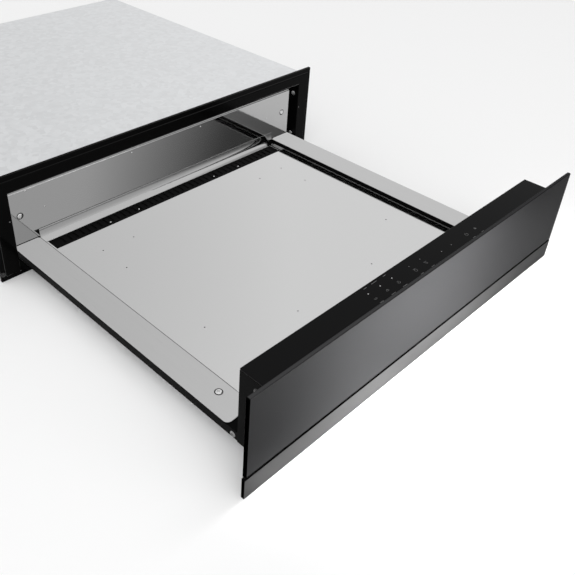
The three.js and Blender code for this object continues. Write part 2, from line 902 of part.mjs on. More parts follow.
function addRearCover(group) {
  const s = coverSheet;
  const half = drawerHalf - coverInset;
  const windowHalf = wallScrew[0] - coverTab;
  const [low, high] = [coverBottom, coverTop];
  const outer = block(-half, half, coverFront, coverBack, low, high);
  const room = block(-half + s, half - s, coverFront + s, coverBack - s, low + s, high - s);
  const mouth = block(
    -windowHalf,
    windowHalf,
    coverFront - 1,
    coverFront + 2 * s,
    low + coverRim,
    high - coverRim,
  );
  const outlet = block(
    -fanDuctWidth * 2,
    fanDuctWidth,
    coverFront + 2,
    coverFront + 2 + fanHousingDepth + 3,
    low - 1,
    low + 2 * s,
  );
  const louvres = [];
  const louvreFront = coverFront + louvreSetback;
  for (let i = 0; i < louvreCount; i++) {
    const x = (i - (louvreCount - 1) / 2) * louvrePitch;
    const [x0, x1] = [x - louvreLength / 2, x + louvreLength / 2];
    louvres.push(block(x0, x1, louvreFront, louvreFront + louvreWidth, high - 2 * s, high + 1));
  }
  const [x, y, z] = wallScrew;
  const holes = [screwHole("y", wallScrew, -1), screwHole("y", [-x, y, z], -1)];
  const shell = cut(outer, room, mouth, outlet, ...louvres, ...holes);
  piece(group, "rear_cover", shell, zincSteel);
}

function addAirDuct(group) {
  const s = coverSheet;
  const half = ledgeHalf - seat;
  const top = coverBottom - seat;
  const front = slotPlateFront - 3;
  const back = coverBack - 1;
  const low = ledgeBottom - ductDepth;
  const plateLow = floorBottom - seat;
  const shell = join(
    block(-half, half, front, back, low, low + s),
    block(-half, half, front, front + s, low, plateLow),
    block(-half, half, back - s, back, low, top),
    block(-half, -half + s, front, back, low, plateLow),
    block(half - s, half, front, back, low, plateLow),
    block(-half, half, wallFace + 4, wallFace + 4 + s, low + ductDepth * 0.8, top),
  );
  piece(group, "air_duct", shell, blackSteel);

  const spineLow = low + s + seat;
  const heaterFront = wallBack + 8;
  const heaterBack = heaterFront + airHeaterDepth;
  const right = airHeaterLength - airHeaterLeft;
  const spine = block(
    -airHeaterLeft,
    right,
    heaterFront + 2,
    heaterBack - 2,
    spineLow,
    spineLow + finHeight / 3,
  );
  const fins = [];
  for (let x = -airHeaterLeft + finPitch / 2; x < right - finThickness; x += finPitch) {
    fins.push(
      block(
        x,
        x + finThickness,
        heaterFront,
        heaterBack,
        spineLow + finHeight / 4,
        spineLow + finHeight,
      ),
    );
  }
  piece(group, "air_heater", join(spine, ...fins), trimMetal);
}

// ---- Fan ----

const fanFront = coverFront + 3.2;
const fanBack = fanFront + fanHousingDepth;

function fanOutline(radius, inset, low) {
  const left = -fanHousingRadius + inset;
  const right = left + fanDuctWidth - 2 * inset;
  const turn = -Math.acos(right / radius);
  return polygon([
    [left, low],
    [right, low],
    ...arc(0, fanHeight, radius, turn, Math.PI, 24),
  ]);
}

function addFan(group) {
  const wall = fanHousingWall;
  const low = coverFloor + seat;
  const outer = prism("y", fanOutline(fanHousingRadius, 0, low), fanFront, fanBack);
  const inner = prism(
    "y",
    fanOutline(fanHousingRadius - wall, wall, low - 3),
    fanFront + wall,
    fanBack - wall,
  );
  const inlet = bar("y", 0, fanHeight, fanInletRadius, fanFront - 1, fanFront + wall + 1, 24);
  const pass = bar("y", 0, fanHeight, shaftRadius + 4, fanBack - wall - 1, fanBack + 1, 16);
  piece(group, "fan_housing", cut(outer, inner, inlet, pass), blackSatin);

  const motorFront = fanBack + seat;
  const coverInside = coverBack - coverSheet - seat;
  const can = bar("y", 0, fanHeight, motorRadius, motorFront, motorFront + motorLength, 28);
  const foot = bar("y", 0, fanHeight, motorRadius / 2, motorFront + 1, coverInside, 20);
  const shaft = bar("y", 0, fanHeight, shaftRadius, fanFront + 6, motorFront + 1, 14);
  piece(group, "fan_motor", join(can, foot, shaft), greyPlastic);
}

function addImpeller(group) {
  const front = fanFront + fanHousingWall + 1;
  const back = front + impellerDepth;
  const disc = bar("y", 0, 0, impellerRadius, back - 1.5, back, 28);
  const rim = circle(0, 0, impellerRadius, 28);
  rim.holes = [circle(0, 0, impellerRadius - bladeLength, 28)];
  const ring = prism("y", rim, front, front + 1.5);
  const hub = bar("y", 0, 0, 6.5, front + 5, back, 20);
  const blades = [];
  for (let i = 0; i < bladeCount; i++) {
    const blade = block(
      impellerRadius - bladeLength + 0.1,
      impellerRadius - 0.2,
      front + 0.5,
      back - 0.5,
      -0.6,
      0.6,
    );
    blades.push(blade.rotateY((2 * Math.PI * i) / bladeCount));
  }
  const bore = bar("y", 0, 0, shaftRadius + seat, front, back + 1, 14);
  const wheel = cut(join(disc, ring, hub, ...blades), bore);
  piece(group, "fan_impeller", wheel, blackSatin).position.set(0, 0, fanHeight);
}

// ---- Electrics in the rear of the drawer ----

function addPowerBoard(group) {
  const rear = coverBack - coverSheet - seat;
  const face = rear - standoff - boardThickness;
  const [x0, x1] = [powerBoardAcross, powerBoardAcross + powerBoardWidth];
  const [z0, z1] = [powerBoardUp, coverCeiling - powerBoardDrop];
  const board = block(x0, x1, face, face + boardThickness, z0, z1);
  const inset = standoff;
  const feet = [x0 + inset, x1 - inset].flatMap((x) =>
    [z0 + inset, z1 - inset].map((z) => bar("y", x, z, standoff / 2, face + 1, rear, 10)),
  );
  const low = z0 + partMargin;
  const part = (x, z, width, height, depth) =>
    block(x, x + width, face - depth, face + 0.5, z, z + height);
  const relayAcross = x0 + 2 * partMargin + transformerWidth;
  const relayDepth = relaySize * 0.85;
  const capacitor = x1 - partMargin - capacitorRadius;
  const parts = [
    part(x0 + partMargin, low, transformerWidth, transformerHeight, transformerDepth),
    part(relayAcross, low, relaySize, relaySize, relayDepth),
    part(relayAcross + relaySize + partMargin / 2, low, relaySize, relaySize, relayDepth),
    bar("y", capacitor, low + relaySize / 2, capacitorRadius, face - relaySize, face + 0.5, 12),
    part(x0 + 2 * partMargin, z1 - 1.6 * partMargin, powerBoardWidth * 0.7, partMargin, partMargin),
  ];
  piece(group, "power_board", join(board, ...feet, ...parts), circuitGreen);
}

function addSensors(group) {
  const rear = coverBack - coverSheet - seat;
  const [x, z] = [-cutoutAcross, cutoutUp];
  const wing = cutoutRadius * 1.75;
  const cutout = join(
    bar("y", x, z, cutoutRadius, rear - cutoutRadius, rear, 18),
    block(x - wing, x + wing, rear - cutoutRadius / 4, rear, z - 3, z + 3),
  );
  piece(group, "thermal_cutout", cutout, whitePlastic);

  const collar = coverFront + probeRadius;
  const probe = join(
    bar("y", probeAcross, probeUp, probeRadius, coverFront, coverFront + probeLength, 12),
    bar("y", probeAcross, probeUp, probeRadius * 1.7, coverFront, collar, 12),
  );
  piece(group, "temperature_sensor", probe, stainless);
}

// ---- Push latch ----

const strikerBack = wallBack + 9;
const ductLow = ledgeBottom - ductDepth;
const latchLow = caseSheet + seat;
const latchTop = frontLift + ductLow - latchClearance;
const plungerHeight = (latchLow + latchTop) / 2;

function addStriker(group) {
  const top = ductLow - seat;
  const low = plungerHeight - plungerRadius - 1 - frontLift;
  const striker = rectangle(-strikerWidth / 2, low, strikerWidth / 2, top);
  const tip = prism("y", striker, strikerBack - strikerThickness, strikerBack, 0.4);
  piece(group, "latch_striker", tip, whitePlastic);
}

// The plunger's tip meets the striker's back when the drawer is shut.
const plungerTip = strikerBack + drawerY + travel + seat;
const latchFront = plungerTip + plungerReach;

function addLatch(group) {
  const outline = rectangle(-latchWidth / 2, latchLow, latchWidth / 2, latchTop, 1);
  const body = prism("y", outline, latchFront, latchFront + latchLength);
  const room = plungerLength - plungerReach + latchStroke + 1;
  const bore = bar(
    "y",
    0,
    plungerHeight,
    plungerRadius + seat,
    latchFront - 1,
    latchFront + room,
    16,
  );
  piece(group, "latch_body", cut(body, bore), greyPlastic);
}

function addPlunger(group) {
  const rod = bar("y", 0, 0, plungerRadius, 0, plungerLength, 16);
  piece(group, "latch_plunger", rod, whitePlastic).position.set(0, plungerTip, plungerHeight);
}

// ---- Assembly ----

function buildWarmingDrawer() {
  const group = new THREE.Group();
  const housing = new THREE.Group();
  const drawer = new THREE.Group();
  drawer.position.set(0, drawerY, frontLift);
  group.add(housing, drawer);

  addCase(housing);
  addInlet(housing);
  addFrame(housing);
  addCaseRails(housing);
  addMiddleRails(housing);
  addLatch(housing);
  addPlunger(housing);

  addFront(drawer);
  addControlBox(drawer);
  addSideMembers(drawer);
  addSideStrips(drawer);
  addFloor(drawer);
  addRearWall(drawer);
  addWallFoot(drawer);
  addRearCover(drawer);
  addAirDuct(drawer);
  addFan(drawer);
  addImpeller(drawer);
  addPowerBoard(drawer);
  addSensors(drawer);
  addDrawerRails(drawer);
  addStriker(drawer);
  return group;
}

const group = buildWarmingDrawer();

export default group;
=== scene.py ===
"""Looks of a built-in warming drawer that is drawn out: finishes, fine detail, light and camera."""

import json
import math

import bmesh
import bpy
from mathutils import Matrix, Vector

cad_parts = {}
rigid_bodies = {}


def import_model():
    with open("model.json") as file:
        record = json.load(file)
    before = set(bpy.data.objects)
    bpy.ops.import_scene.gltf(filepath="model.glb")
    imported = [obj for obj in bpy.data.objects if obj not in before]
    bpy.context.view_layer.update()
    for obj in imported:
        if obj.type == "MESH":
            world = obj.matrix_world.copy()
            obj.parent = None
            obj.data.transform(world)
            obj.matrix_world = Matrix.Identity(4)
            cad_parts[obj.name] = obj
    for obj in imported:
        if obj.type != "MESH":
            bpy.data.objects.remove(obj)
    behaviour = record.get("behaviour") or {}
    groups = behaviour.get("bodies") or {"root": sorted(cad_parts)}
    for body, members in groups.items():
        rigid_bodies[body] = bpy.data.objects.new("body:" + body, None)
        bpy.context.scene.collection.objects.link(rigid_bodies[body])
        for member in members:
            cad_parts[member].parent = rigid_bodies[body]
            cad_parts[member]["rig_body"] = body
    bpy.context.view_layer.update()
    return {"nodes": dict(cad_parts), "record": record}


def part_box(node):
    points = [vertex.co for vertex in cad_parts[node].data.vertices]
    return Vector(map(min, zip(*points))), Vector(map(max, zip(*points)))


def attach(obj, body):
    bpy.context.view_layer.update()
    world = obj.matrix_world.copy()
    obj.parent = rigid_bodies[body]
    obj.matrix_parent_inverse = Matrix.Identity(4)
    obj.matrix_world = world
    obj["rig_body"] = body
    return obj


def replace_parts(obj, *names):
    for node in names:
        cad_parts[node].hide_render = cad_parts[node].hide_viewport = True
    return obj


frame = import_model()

MM = 0.001
scene = bpy.context.scene

# ---- Camera ----

IMAGE_SIZE = 575
FOCAL_PX = 730.83
CENTRE_PX = (245, 250)  # principal point of the photograph's view
CAMERA_PLACE = (-610.9, -1020.2, 596.1)  # mm
CAMERA_YAW = 0.7941  # radians, from +Y towards +X
CAMERA_PITCH = 0.6121  # radians below the horizon
CAMERA_ROLL = 0.0378  # radians
CAMERA_CLIP = (0.01, 50)  # metres


def add_camera():
    data = bpy.data.cameras.new("camera")
    data.sensor_fit = "HORIZONTAL"
    data.lens = FOCAL_PX * data.sensor_width / IMAGE_SIZE
    data.shift_x = 0.5 - CENTRE_PX[0] / IMAGE_SIZE
    data.shift_y = CENTRE_PX[1] / IMAGE_SIZE - 0.5
    data.clip_start, data.clip_end = CAMERA_CLIP
    yaw, pitch, roll = CAMERA_YAW, CAMERA_PITCH, CAMERA_ROLL
    ahead = Vector(
        (math.sin(yaw) * math.cos(pitch), math.cos(yaw) * math.cos(pitch), -math.sin(pitch))
    )
    level = Vector((math.cos(yaw), -math.sin(yaw), 0))
    above = level.cross(ahead)
    right = math.cos(roll) * level + math.sin(roll) * above
    up = math.cos(roll) * above - math.sin(roll) * level
    turn = Matrix((right, up, -ahead)).transposed().to_4x4()
    camera = bpy.data.objects.new("camera", data)
    camera.matrix_world = Matrix.Translation(Vector(CAMERA_PLACE) * MM) @ turn
    scene.collection.objects.link(camera)
    scene.camera = camera


# ---- Light and floor ----


def area_light(name, place, target, size, power):
    data = bpy.data.lights.new(name, "AREA")
    data.shape = "RECTANGLE"
    data.size, data.size_y = size
    data.energy = power
    light = bpy.data.objects.new(name, data)
    light.location = place
    light.rotation_mode = "QUATERNION"
    aim = Vector(target) - Vector(place)
    light.rotation_quaternion = aim.to_track_quat("-Z", "Y")
    light.visible_camera = False
    scene.collection.objects.link(light)
    return light


# Dim places of the studio: degrees from -Y towards +X, degrees above the horizon, how many
# degrees from there it is fully dim and how many it is bright again, and its level.
DIM_PLACES = ((67, 30, 21, 31, 0.1), (170, 32, 12, 33, 0.76))


def add_world():
    """White studio whose dim places only reflections and lighting see."""
    world = bpy.data.worlds.new("studio")
    world.use_nodes = True
    tree = world.node_tree
    background = tree.nodes["Background"]
    background.inputs["Color"].default_value = (1, 1, 1, 1)
    direction = tree.nodes.new("ShaderNodeTexCoord").outputs["Generated"]

    def joined(operation, first, second):
        node = tree.nodes.new("ShaderNodeMath")
        node.operation = operation
        tree.links.new(first, node.inputs[0])
        tree.links.new(second, node.inputs[1])
        return node.outputs["Value"]

    levels = []
    for around, up, inner, outer, dim in DIM_PLACES:
        around, up = math.radians(around), math.radians(up)
        toward = tree.nodes.new("ShaderNodeVectorMath")
        toward.operation = "DOT_PRODUCT"
        toward.inputs[1].default_value = (
            math.sin(around) * math.cos(up), -math.cos(around) * math.cos(up), math.sin(up)
        )
        tree.links.new(direction, toward.inputs[0])
        level = tree.nodes.new("ShaderNodeMapRange")
        level.inputs["From Min"].default_value = math.cos(math.radians(outer))
        level.inputs["From Max"].default_value = math.cos(math.radians(inner))
        level.inputs["To Min"].default_value = 1
        level.inputs["To Max"].default_value = dim
        tree.links.new(toward.outputs["Value"], level.inputs["Value"])
        levels.append(level.outputs["Result"])
    dimmed = joined("MULTIPLY", *levels)
    camera_ray = tree.nodes.new("ShaderNodeLightPath").outputs["Is Camera Ray"]
    tree.links.new(joined("MAXIMUM", dimmed, camera_ray), background.inputs["Strength"])
    scene.world = world


STAGE_REACH = 12  # metres, from its middle to each side
STAGE_GREY = 0.93
STAGE_ROUGHNESS = 0.9
STAGE_DROP = 0.3  # mm below the part


def add_floor_stage():
    mesh = bpy.data.meshes.new("studio_floor")
    reach = STAGE_REACH
    corners = [(-reach, -reach, 0), (reach, -reach, 0), (reach, reach, 0), (-reach, reach, 0)]
    mesh.from_pydata(corners, [], [(0, 1, 2, 3)])
    floor = bpy.data.objects.new("studio_floor", mesh)
    material = bpy.data.materials.new("studio_floor")
    material.use_nodes = True
    shader = material.node_tree.nodes["Principled BSDF"]
    shader.inputs["Base Color"].default_value = (STAGE_GREY, STAGE_GREY, STAGE_GREY, 1)
    shader.inputs["Roughness"].default_value = STAGE_ROUGHNESS
    shader.inputs["Specular IOR Level"].default_value = 0.0
    mesh.materials.append(material)
    floor.location.z = -STAGE_DROP * MM
    scene.collection.objects.link(floor)


# The key light: place, target and size in metres, power in watts.
KEY_LIGHT = ((-1.2, -1.6, 2.4), (0, -0.3, 0), (1.8, 1.8), 15)
# Two low lights that shine down before the front: place, size, turn in degrees, power.
FRONT_LIGHTS = {
    "front_pool": ((0.091, -0.800, 0.065), (0.61, 0.129), -26, 3.1),
    "trim_pool": ((-0.162, -0.733, 0.022), (0.242, 0.01), 0, 0.08),
}


def add_lights():
    add_world()
    area_light("key", *KEY_LIGHT)
    for name, (place, size, turn, power) in FRONT_LIGHTS.items():
        light = area_light(name, place, (place[0], place[1], 0), size, power)
        light.rotation_mode = "XYZ"
        light.rotation_euler = (0, 0, math.radians(turn))


# ---- Materials ----


class Finish:
    """A Principled material and the node helpers that build its detail."""

    def __init__(self, name, color, roughness, metallic=0.0, specular=0.5):
        self.material = bpy.data.materials.new(name)
        self.material.use_nodes = True
        self.tree = self.material.node_tree
        self.shader = self.tree.nodes["Principled BSDF"]
        self.color = color
        self.roughness = roughness
        self.set("Base Color", (*color, 1))
        self.set("Roughness", roughness)
        self.set("Metallic", metallic)
        self.set("Specular IOR Level", specular)

    def set_edge(self, tint):
        """Reflection at a grazing view, on a metallic finish."""
        self.set("Specular Tint", (tint, tint, tint, 1))

    def set(self, socket, value):
        self.shader.inputs[socket].default_value = value

    def node(self, kind, **inputs):
        made = self.tree.nodes.new(kind)
        for name, value in inputs.items():
            made.inputs[name].default_value = value
        return made

    def link(self, source, target):
        self.tree.links.new(source, target)

    def place(self, scale):
        coordinates = self.node("ShaderNodeTexCoord")
        mapping = self.node("ShaderNodeMapping", Scale=scale)
        self.link(coordinates.outputs["Object"], mapping.inputs["Vector"])
        return mapping.outputs["Vector"]

    def noise(self, scale, detail=3.0, roughness=0.55):
        noise = self.node("ShaderNodeTexNoise", Scale=1.0, Detail=detail, Roughness=roughness)
        self.link(self.place(scale), noise.inputs["Vector"])
        return noise.outputs["Fac"]

    def cells(self, scale, output="Color"):
        cells = self.node("ShaderNodeTexVoronoi", Scale=1.0)
        self.link(self.place(scale), cells.inputs["Vector"])
        return cells.outputs[output]

    def between(self, fac, low, high):
        """Maps 0..1 to low..high."""
        spread = self.node("ShaderNodeMapRange")
        spread.inputs["To Min"].default_value = low
        spread.inputs["To Max"].default_value = high
        self.link(fac, spread.inputs["Value"])
        return spread.outputs["Result"]

    def vary_color(self, fac, amount):
        mix = self.tree.nodes.new("ShaderNodeMix")
        mix.data_type = "RGBA"
        dark = [c * (1 - amount) for c in self.color]
        light = [min(1, c * (1 + amount)) for c in self.color]
        mix.inputs["A"].default_value = (*dark, 1)
        mix.inputs["B"].default_value = (*light, 1)
        self.link(fac, mix.inputs["Factor"])
        self.link(mix.outputs["Result"], self.shader.inputs["Base Color"])

    def vary_roughness(self, fac, amount):
        ranged = self.between(fac, self.roughness - amount, self.roughness + amount)
        self.link(ranged, self.shader.inputs["Roughness"])

    def darken(self, axis, low, high, level):
        """Dims the base colour between two places along an axis, in mm, after it is varied."""
        split = self.node("ShaderNodeSeparateXYZ")
        self.link(self.place((1, 1, 1)), split.inputs["Vector"])
        within = self.tree.nodes.new("ShaderNodeMath")
        within.operation = "COMPARE"
        within.inputs[1].default_value = (low + high) / 2 * MM
        within.inputs[2].default_value = (high - low) / 2 * MM
        self.link(split.outputs[axis], within.inputs[0])
        socket = self.shader.inputs["Base Color"]
        mix = self.tree.nodes.new("ShaderNodeMix")
        mix.data_type = "RGBA"
        mix.inputs["B"].default_value = (*[c * level for c in self.color], 1)
        self.link(within.outputs["Value"], mix.inputs["Factor"])
        self.link(socket.links[0].from_socket, mix.inputs["A"])
        self.link(mix.outputs["Result"], socket)

    def bump(self, fac, strength, distance):
        bump = self.node("ShaderNodeBump", Strength=strength, Distance=distance)
        self.link(fac, bump.inputs["Height"])
        self.link(bump.outputs["Normal"], self.shader.inputs["Normal"])


GRAIN_ACROSS = 1500  # scale of brushed grain across its lines, and along them
GRAIN_ALONG = 6


def brushed(name, color, roughness, along, amount=0.05, edge=1.0, dark_bands=()):
    """Metal with fine grain lines along one axis. Each darkened band is (axis, low, high, level); on
    the trim's top edge and the left strip's inner edge it is painted shade.
    """
    scale = [GRAIN_ACROSS] * 3
    scale["xyz".index(along)] = GRAIN_ALONG
    finish = Finish(name, color, roughness, metallic=1.0)
    finish.set_edge(edge)
    grain = finish.noise(scale, detail=4)
    finish.vary_color(grain, amount)
    finish.vary_roughness(grain, 0.06)
    finish.bump(grain, 0.08, 0.02 * MM)
    for dark_band in dark_bands:
        finish.darken(*dark_band)
    return finish.material


def polished(name, color, roughness, dark_bands=()):
    """Mirror-finished sheet with faint polishing haze."""
    finish = Finish(name, color, roughness, metallic=1.0)
    haze = finish.noise((9, 9, 9), detail=6)
    finish.vary_color(haze, 0.02)
    finish.vary_roughness(haze, roughness * 0.4)
    for dark_band in dark_bands:
        finish.darken(*dark_band)
    return finish.material


def galvanised(name):
    """Zinc-coated sheet with its spangle."""
    finish = Finish(name, (0.74, 0.75, 0.76), 0.42, metallic=0.85)
    spangle = finish.cells((140, 140, 140))
    finish.vary_color(spangle, 0.07)
    finish.vary_roughness(spangle, 0.08)
    return finish.material


def enamel(name, color, roughness, specular, metallic=0.0):
    """Smooth painted or moulded surface with a faint orange-peel."""
    finish = Finish(name, color, roughness, metallic=metallic, specular=specular)
    peel = finish.noise((420, 420, 420), detail=2)
    finish.vary_color(finish.noise((14, 14, 14), detail=5), 0.12)
    finish.vary_roughness(peel, roughness * 0.15)
    finish.bump(peel, 0.06, 0.03 * MM)
    return finish.material


def moulded(name, color, roughness, specular=0.4):
    """Moulded plastic with a fine spark-eroded texture."""
    finish = Finish(name, color, roughness, specular=specular)
    grain = finish.noise((2600, 2600, 2600), detail=2)
    finish.vary_color(finish.noise((25, 25, 25)), 0.05)
    finish.vary_roughness(grain, 0.06)
    finish.bump(grain, 0.2, 0.03 * MM)
    return finish.material


def dark_glass(name, reflection, edge, roughness, dark_bands=()):
    """Coated glass whose reflection stays dim at a slant, with printed borders."""
    finish = Finish(name, (reflection, reflection, reflection * 1.02), roughness, metallic=1.0)
    finish.set_edge(edge)
    film = finish.noise((7, 7, 7), detail=5)
    finish.vary_color(film, 0.04)
    finish.vary_roughness(film, roughness * 0.15)
    for dark_band in dark_bands:
        finish.darken(*dark_band)
    return finish.material


def fibre(name):
    finish = Finish(name, (0.62, 0.57, 0.45), 0.95, specular=0.1)
    strands = finish.noise((160, 900, 900), detail=6)
    finish.vary_color(strands, 0.3)
    finish.bump(strands, 0.8, 0.6 * MM)
    return finish.material


def heater_foil(name):
    """Foil mat with the serpentine of its heating wire showing through."""
    finish = Finish(name, (0.72, 0.70, 0.66), 0.35, metallic=0.9)
    wave = finish.node("ShaderNodeTexWave", Scale=1.0, Distortion=0.0)
    finish.link(finish.place((55, 0.001, 0.001)), wave.inputs["Vector"])
    finish.vary_color(wave.outputs["Fac"], 0.2)
    finish.bump(wave.outputs["Fac"], 0.6, 0.5 * MM)
    return finish.material


def circuit_board(name):
    finish = Finish(name, (0.02, 0.13, 0.06), 0.4, specular=0.5)
    tracks = finish.cells((260, 260, 260), "Distance")
    finish.vary_color(tracks, 0.5)
    finish.bump(tracks, 0.3, 0.05 * MM)
    return finish.material


SPILL = 1  # mm that a dark band runs past the edge it lies on
BORDER_LEVEL = 0.03
GLASS_BORDER = {"side": 1.5, "lower": 1.7}  # widths in mm
# Dark bands on the lower trim, widths in mm: at its ends, and along its top edge as painted shade of
# the groove under the glass.
TRIM_SHADE_BAND = {"side": 0.3, "upper": 1.1}
WALL_LINE = (0.5, 0.6)  # width in mm and level of the line along the rear wall's top
STRIP_SHADOW_LINE = (1.1, 0.25)  # and of the painted shadow line along the left strip's inner edge
LOW_END = (-1,)
HIGH_END = (1,)


def edges_of(node, axis, width, ends=LOW_END + HIGH_END, level=BORDER_LEVEL):
    """Dark bands of a width in mm at the low and high ends of a node's box."""
    low, high = [corner["XYZ".index(axis)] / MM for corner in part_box(node)]
    bands = {-1: (axis, low - SPILL, low + width, level), 1: (axis, high - width, high + SPILL, level)}
    return [bands[end] for end in ends]


GLASS_BORDERS = edges_of("front_glass", "X", GLASS_BORDER["side"])
GLASS_BORDERS += edges_of("front_glass", "Z", GLASS_BORDER["lower"], LOW_END)
TRIM_SHADE_BANDS = edges_of("lower_trim", "X", TRIM_SHADE_BAND["side"])
TRIM_SHADE_BANDS += edges_of("lower_trim", "Z", TRIM_SHADE_BAND["upper"], HIGH_END)
# A darker line along the rear wall's top.
WALL_TOP_DARK_LINE = edges_of("rear_wall", "Z", WALL_LINE[0], HIGH_END, WALL_LINE[1])
# The left strip's inner edge is darkened as painted shadow of the groove beside it.
STRIP_SHADOW_BAND = edges_of("left_side_strip", "X", STRIP_SHADOW_LINE[0], HIGH_END, STRIP_SHADOW_LINE[1])

materials = {
    "zinc_steel": galvanised("galvanised_steel"),
    "stainless": brushed("brushed_stainless", (0.52, 0.52, 0.52), 0.3, "y"),
    "mirror_steel": polished("mirror_stainless", (0.47, 0.47, 0.47), 0.06, WALL_TOP_DARK_LINE),
    "front_glass": dark_glass("grey_front_glass", 0.05, 0.4, 0.25, GLASS_BORDERS),
    "touch_glass": dark_glass("black_touch_glass", 0.009, 0.63, 0.2),
    # Trim whose top edge is darkened as painted shade of the groove.
    "trim_metal": brushed(
        "front_trim", (0.11, 0.11, 0.11), 0.3, "x", edge=0.3, dark_bands=TRIM_SHADE_BANDS
    ),
    "black_gloss": enamel("black_enamel", (0.002, 0.002, 0.002), 0.12, 0.035),
    "black_satin": moulded("black_plastic", (0.008, 0.008, 0.009), 0.5, 0.15),
    "black_steel": enamel("black_steel", (0.002, 0.002, 0.002), 0.4, 0.02),
    "screw_steel": polished("screw_steel", (0.7, 0.7, 0.7), 0.18),
    "grey_plastic": moulded("grey_plastic", (0.22, 0.23, 0.24), 0.5),
    "white_plastic": moulded("white_plastic", (0.75, 0.75, 0.72), 0.45),
    "circuit": circuit_board("circuit_board"),
    "wool": fibre("mineral_wool"),
    "heater_mat": heater_foil("heater_foil"),
    "rubber": moulded("rubber", (0.015, 0.015, 0.015), 0.8, 0.2),
}
materials["mark_print"] = moulded("mark_print", (0.095, 0.095, 0.095), 0.6, 0.2)
materials["mark_light"] = moulded("mark_light", (0.5, 0.5, 0.5), 0.4, 0.3)
materials["pip"] = moulded("pip_shadow", (0.12, 0.12, 0.12), 0.5)
# Strip steel whose inner edge is darkened as painted shadow.
materials["strip"] = brushed("strip_stainless", (0.52, 0.52, 0.52), 0.3, "y", dark_bands=STRIP_SHADOW_BAND)
materials["floor"] = brushed("floor_stainless", (0.6, 0.6, 0.6), 0.1, "x", 0.02)
materials["label"] = enamel("label_foil", (0.55, 0.55, 0.55), 0.4, 0.4)
materials["slot_plate"] = enamel("slot_plate", (0.001, 0.001, 0.001), 0.5, 0.03)
materials["dull_screw"] = polished("dull_screw", (0.3, 0.3, 0.3), 0.3)
materials["black_screw"] = enamel("black_screw", (0.006, 0.006, 0.006), 0.2, 0.5)

SLOT_OF = {part["node"]: part["material_slot"] for part in frame["record"]["subparts"]}
OWN_MATERIAL = {
    "floor_plate": "floor",
    # The air duct's near-black finish is painted shade seen through the slots.
    "air_duct": "slot_plate",
    "air_slot_plate": "slot_plate",
    # case_base and rear_cover are painted near-black as the shade inside the case behind the drawer.
    "case_base": "black_steel",
    "rear_cover": "black_steel",
    "control_box": "black_steel",
    "left_side_strip": "strip",
    "right_side_strip": "strip",
}


def dress_nodes():
    for node, slot in SLOT_OF.items():
        obj = frame["nodes"][node]
        obj.data.materials.clear()
        obj.data.materials.append(materials[OWN_MATERIAL.get(node, slot)])


# ---- Soft edges on the carried-over nodes ----


def soften(node, width, segments=2):
    obj = frame["nodes"][node]
    mesh = obj.data
    if "custom_normal" in mesh.attributes:
        mesh.attributes.remove(mesh.attributes["custom_normal"])
    mesh.shade_smooth()
    weld = obj.modifiers.new("weld", "WELD")
    weld.merge_threshold = 0.002 * MM
    flatten = obj.modifiers.new("flatten", "DECIMATE")
    flatten.decimate_type = "DISSOLVE"
    flatten.angle_limit = math.radians(1)
    bevel = obj.modifiers.new("edges", "BEVEL")
    bevel.width = width * MM
    bevel.segments = segments
    bevel.limit_method = "ANGLE"
    bevel.angle_limit = math.radians(38)
    weight = obj.modifiers.new("weight", "WEIGHTED_NORMAL")
    weight.keep_sharp = True


# Widths of the rounded edges in mm, of single nodes and then of left and right pairs.
EDGE_WIDTHS = {
    "front_frame": 0.4,
    "front_glass": 0.35,
    "lower_trim": 0.15,
    "front_carrier": 0.4,
    "control_box": 0.8,
    "touch_panel": 0.3,
    "floor_plate": 0.3,
    "air_slot_plate": 0.3,
    "bottom_tray": 0.4,
    "rear_wall": 0.2,
    "wall_foot": 0.1,
    "rear_cover": 0.4,
    "fan_housing": 0.8,
    "case_base": 0.3,
    "case_top": 0.4,
    "case_rear": 0.3,
    "latch_body": 0.5,
    "terminal_block": 0.5,
}


PAIR_EDGE_WIDTHS = {
    "side_member": 0.4,
    "side_strip": 0.2,
    "case_side": 0.4,
    "case_rail": 0.3,
    "middle_rail": 0.3,
    "drawer_rail": 0.3,
}


def soften_nodes():
    for node, width in EDGE_WIDTHS.items():
        soften(node, width)
    for kind, width in PAIR_EDGE_WIDTHS.items():
        soften("left_" + kind, width)
        soften("right_" + kind, width)


# ---- Small pieces ----


SHARP_ANGLE = 35  # degrees from which an edge is drawn sharp
DOME_SHARP_ANGLE = 50


def mesh_from(name, bm):
    mesh = bpy.data.meshes.new(name)
    bmesh.ops.recalc_face_normals(bm, faces=bm.faces)
    bm.to_mesh(mesh)
    bm.free()
    return mesh


def finish_mesh(mesh, material, sharp_angle=SHARP_ANGLE):
    mesh.shade_smooth()
    mesh.set_sharp_from_angle(angle=math.radians(sharp_angle))
    mesh.materials.append(material)
    return mesh


def add_piece(name, bm, material, body, place=None):
    return add_object(name, finish_mesh(mesh_from(name, bm), material), body, place)


def add_object(name, mesh, body, place=None):
    piece = bpy.data.objects.new(name, mesh)
    scene.collection.objects.link(piece)
    if place:
        piece.matrix_world = place
    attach(piece, body)
    return piece


def ring_of(radius, height, steps):
    turns = [2 * math.pi * i / steps for i in range(steps)]
    return [(radius * math.cos(t), radius * math.sin(t), height) for t in turns]


def revolve(bm, profile, steps=32):
    """Closed solid about Z. The profile is (radius, height) in mm, from the axis to the axis."""
    rings = []
    for radius, height in profile:
        points = ring_of(radius, height, steps) if radius else [(0, 0, height)]
        rings.append([bm.verts.new(Vector(point) * MM) for point in points])
    for low, high in zip(rings, rings[1:]):
        for i in range(steps):
            j = (i + 1) % steps
            corners = (low[i % len(low)], low[j % len(low)], high[j % len(high)], high[i % len(high)])
            bm.faces.new(dict.fromkeys(corners))


